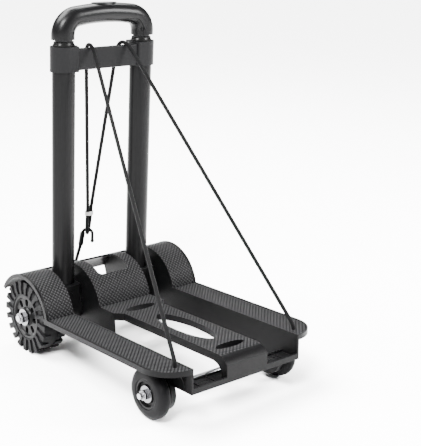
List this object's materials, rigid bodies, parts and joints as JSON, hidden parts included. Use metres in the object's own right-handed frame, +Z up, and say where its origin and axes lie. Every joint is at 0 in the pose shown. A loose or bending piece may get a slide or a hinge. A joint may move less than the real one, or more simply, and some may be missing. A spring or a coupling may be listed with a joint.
{
  "type": "folding luggage cart",
  "caption": "Folding luggage cart with an open moulded platform, lugged rear wheels, small front wheels, a telescopic mast that folds flat, an arched grip and an elastic cord.",
  "frame": {"origin": "floor level, at the middle of the cart's width and of its length", "axes": "+X across the cart, -Y its front, where the small wheels are, +Z up"},
  "size_m": [0.3, 0.4, 0.5056],
  "materials": {
    "moulded_black": "dark grey ABS, fine diamond grain on the upper faces",
    "tube_black": "satin black anodised aluminium",
    "clamp_grey": "mid-grey moulding",
    "grip_black": "satin",
    "button_grey": "satin",
    "nylon": "plain",
    "chrome": "polished",
    "steel": "plain",
    "rubber": "matt",
    "rim_black": "satin",
    "cord_black": "woven sleeve",
    "crimp": "plain"
  },
  "bodies": {
    "base": {"platform": "moulded_black", "rear_axle": "steel", "rear_axle_washers": "chrome", "rear_axle_nuts": "chrome", "front_axle": "steel", "front_axle_washers": "chrome", "front_axle_nuts": "chrome", "elastic_cord": "cord_black", "cord_knots": "cord_black", "tail_cord": "cord_black", "tail_knot": "cord_black"},
    "mast": {"pivot_block_left": "moulded_black", "pivot_block_right": "moulded_black", "pivot_screws": "steel", "outer_tube_left": "tube_black", "outer_tube_right": "tube_black", "clamp_bridge": "clamp_grey", "clamp_screws": "steel", "cord_crimp": "crimp", "cord_hook": "moulded_black"},
    "middle_stage": {"middle_tube_left": "tube_black", "middle_tube_right": "tube_black", "middle_cap_left": "nylon", "middle_cap_right": "nylon", "middle_plugs": "nylon"},
    "handle": {"inner_tube_left": "tube_black", "inner_tube_right": "tube_black", "inner_plugs": "nylon", "grip_upper_shell": "grip_black", "grip_lower_shell": "grip_black", "grip_screws": "steel"},
    "button": {"release_button": "button_grey", "button_yoke": "nylon", "push_rods": "steel", "button_spring": "steel"},
    "lock_pins": {"lock_pins": "steel"},
    "rear_wheel_left": {"rear_tyre_left": "rubber", "rear_rim_left": "rim_black", "rear_bush_left": "nylon"},
    "front_wheel_left": {"front_tyre_left": "rubber", "front_hub_left": "rim_black"},
    "rear_wheel_right": {"rear_tyre_right": "rubber", "rear_rim_right": "rim_black", "rear_bush_right": "nylon"},
    "front_wheel_right": {"front_tyre_right": "rubber", "front_hub_right": "rim_black"}
  },
  "joints": [
    {"name": "mast_fold", "type": "hinge", "parent": "base", "child": "mast", "pos_m": [0, 0.1318, 0.054], "axis": [1, 0, 0], "range_deg": [0, 86], "deforming": ["elastic_cord", "tail_cord"]},
    {"name": "middle_slide", "type": "slide", "parent": "mast", "child": "middle_stage", "axis": [0, 0, 1], "range_m": [0, 0.235]},
    {"name": "handle_slide", "type": "slide", "parent": "middle_stage", "child": "handle", "axis": [0, 0, 1], "range_m": [0, 0.235]},
    {"name": "release_button", "type": "slide", "parent": "handle", "child": "button", "axis": [0, 0, -1], "range_m": [0, 0.004], "stiffness_N_per_m": 600, "springref_m": -0.004, "deforming": ["button_spring"]},
    {"name": "lock_pins", "type": "slide", "parent": "handle", "child": "lock_pins", "axis": [0, -1, 0], "range_m": [0, 0.003]},
    {"name": "rear_wheel_left", "type": "hinge", "parent": "base", "child": "rear_wheel_left", "pos_m": [0, 0.1318, 0.054], "axis": [1, 0, 0], "continuous": true},
    {"name": "front_wheel_left", "type": "hinge", "parent": "base", "child": "front_wheel_left", "pos_m": [0, -0.1392, 0.0355], "axis": [1, 0, 0], "continuous": true},
    {"name": "rear_wheel_right", "type": "hinge", "parent": "base", "child": "rear_wheel_right", "pos_m": [0, 0.1318, 0.054], "axis": [1, 0, 0], "continuous": true},
    {"name": "front_wheel_right", "type": "hinge", "parent": "base", "child": "front_wheel_right", "pos_m": [0, -0.1392, 0.0355], "axis": [1, 0, 0], "continuous": true}
  ],
  "couplings": [
    {"joint": "lock_pins", "follows": "release_button", "ratio": 0.75}
  ]
}
